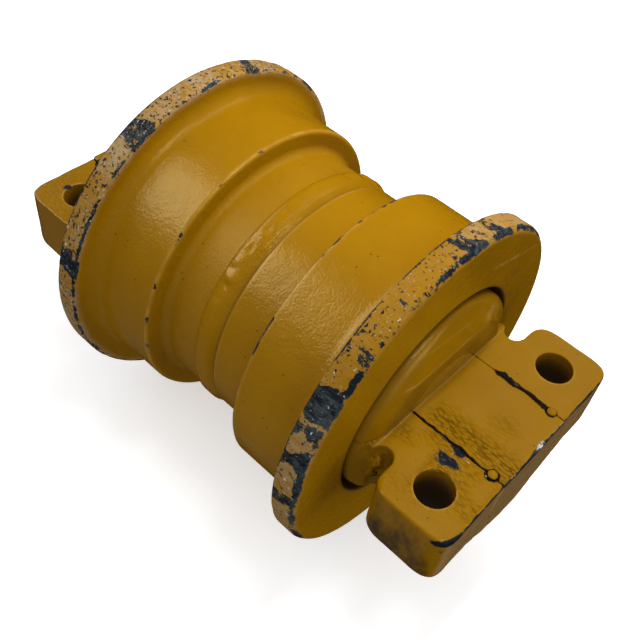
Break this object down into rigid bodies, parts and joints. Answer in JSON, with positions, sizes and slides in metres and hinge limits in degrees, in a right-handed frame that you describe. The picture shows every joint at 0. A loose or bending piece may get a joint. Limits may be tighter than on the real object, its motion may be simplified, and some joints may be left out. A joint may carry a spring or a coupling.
{
  "type": "track roller",
  "caption": "Flanged steel roller on a fixed shaft, with bolt-on end collars, that carries a crawler machine on its track links.",
  "frame": {"origin": "middle of the roller's axis, halfway between the two ends of the shaft", "axes": "+Y along the shaft towards the left end, which holds the oil plug; +Z is the normal of the faces that bolt up to the track frame; +X completes the right-handed frame"},
  "size_m": [0.24, 0.368, 0.24],
  "materials": {
    "shell_paint": "satin ochre-yellow enamel, chipped to dark primer and bare steel on the flange rims",
    "weld_paint": "the same enamel over a wavy weld bead",
    "collar_paint": "satin ochre-yellow enamel over a casting, chipped dark along the edges of the bolting faces",
    "shaft_paint": "forged steel, ground where it bears; the milled end flats are painted over and wrinkled",
    "pin_paint": "steel dowel with a painted domed top",
    "bronze": "turned bronze",
    "seal_iron": "lapped and turned hard iron",
    "seal_rubber": "matt black nitrile",
    "plug_steel": "zinc-plated steel",
    "copper": "soft copper"
  },
  "bodies": {
    "axle": {"shaft": "shaft_paint", "right_collar": "collar_paint", "left_collar": "collar_paint", "right_static_seal_ring": "seal_iron", "left_static_seal_ring": "seal_iron", "right_static_toric": "seal_rubber", "left_static_toric": "seal_rubber", "right_shaft_oring": "seal_rubber", "left_shaft_oring": "seal_rubber", "right_dowel_pins": "pin_paint", "left_dowel_pins": "pin_paint", "oil_plug": "plug_steel", "plug_washer": "copper"},
    "roller": {"right_shell_half": "shell_paint", "left_shell_half": "shell_paint", "centre_weld": "weld_paint", "right_bushing": "bronze", "left_bushing": "bronze", "right_rotating_seal_ring": "seal_iron", "left_rotating_seal_ring": "seal_iron", "right_rotating_toric": "seal_rubber", "left_rotating_toric": "seal_rubber"}
  },
  "joints": [
    {"name": "roller_spin", "type": "hinge", "parent": "axle", "child": "roller", "pos_m": [0, 0, 0], "axis": [0, 1, 0], "continuous": true}
  ]
}
